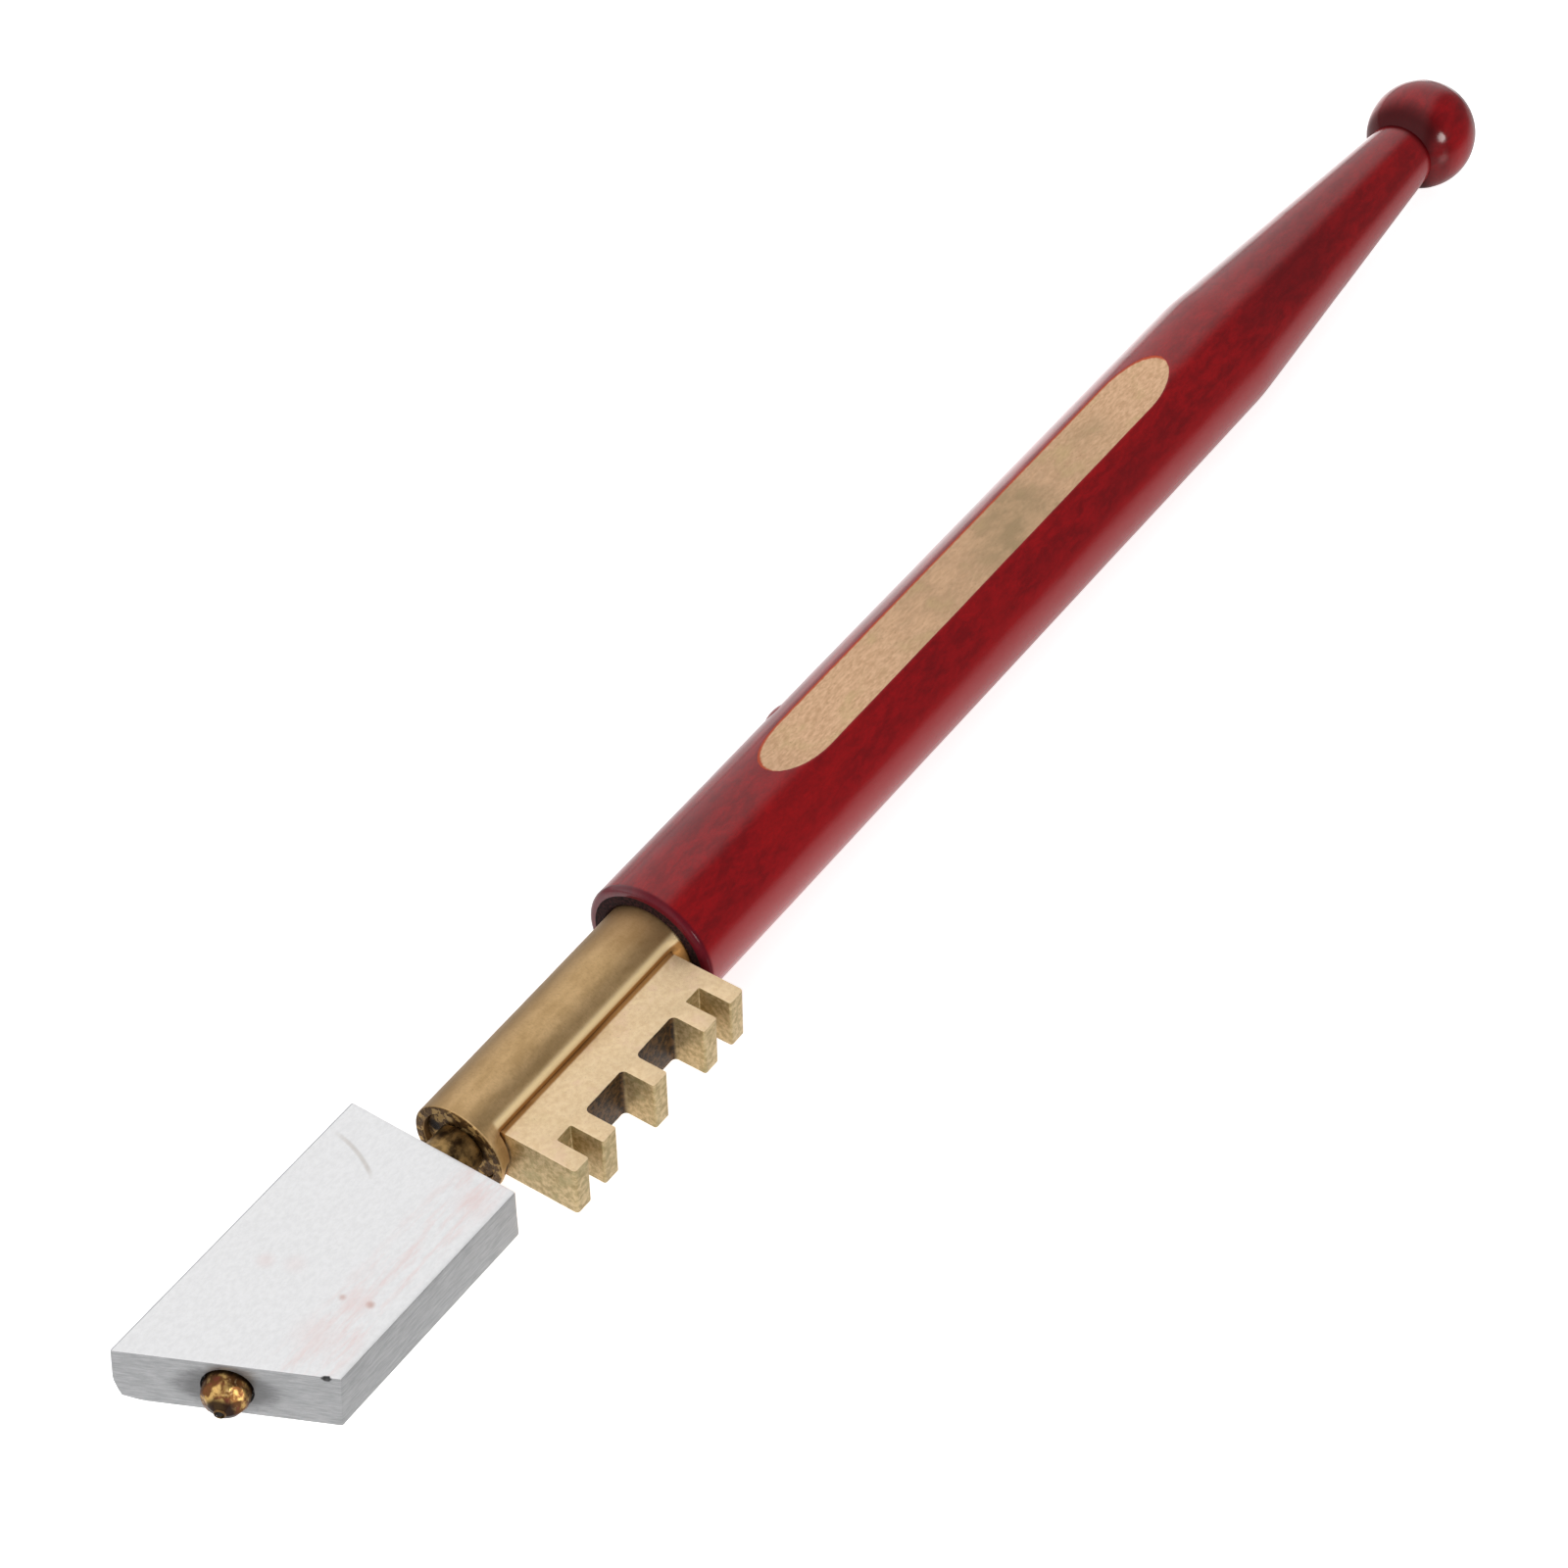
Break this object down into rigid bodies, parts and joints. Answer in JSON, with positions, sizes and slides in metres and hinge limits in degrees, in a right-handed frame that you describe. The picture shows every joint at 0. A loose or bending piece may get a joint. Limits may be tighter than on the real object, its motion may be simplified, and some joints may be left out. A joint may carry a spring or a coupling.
{
  "type": "glass cutter",
  "caption": "Diamond glass cutter with a turned wooden handle, a brass stem with a notched breaker plate, and a swivelling aluminium head block that carries the diamond.",
  "frame": {"origin": "On the tool axis, halfway along the straight 12 mm dowel of the handle, where the tool is held or clamped.", "axes": "+X along the tool axis from the cutting head towards the ball end. The head block's broad faces and the breaker plate lie square to Z, with the thumb flat up at +Z. The breaker plate's teeth point to -Y and the block's longer side is at +Y."},
  "size_m": [0.188, 0.0184, 0.012],
  "materials": {
    "lacquered_wood": "turned wood under deep crimson gloss lacquer, with a bare flat cut through it",
    "stem_brass": "satin drawn tube",
    "bush_bronze": "dark, rough turned face",
    "lacquered_steel": "steel brad lacquered over with the handle",
    "plate_brass": "matte, pale, tarnished brown in the notches",
    "pin_brass": "turned",
    "washer_steel": "plain",
    "block_aluminium": "satin, with faint scratches and filed ends",
    "holder_brass": "burnished, dark golden",
    "diamond": "dark industrial diamond",
    "braze": "dark fused braze"
  },
  "bodies": {
    "handle": {"handle": "lacquered_wood", "stem_tube": "stem_brass", "swivel_bush": "bush_bronze", "tang_pin": "lacquered_steel", "breaker_plate": "plate_brass"},
    "head": {"swivel_pin": "pin_brass", "retaining_washer": "washer_steel", "head_block": "block_aluminium", "diamond_holder": "holder_brass", "diamond": "diamond", "diamond_braze": "braze"}
  },
  "joints": [
    {"name": "head_swivel", "type": "hinge", "parent": "handle", "child": "head", "pos_m": [-0.0684, 0, 0], "axis": [1, 0, 0], "continuous": true}
  ]
}
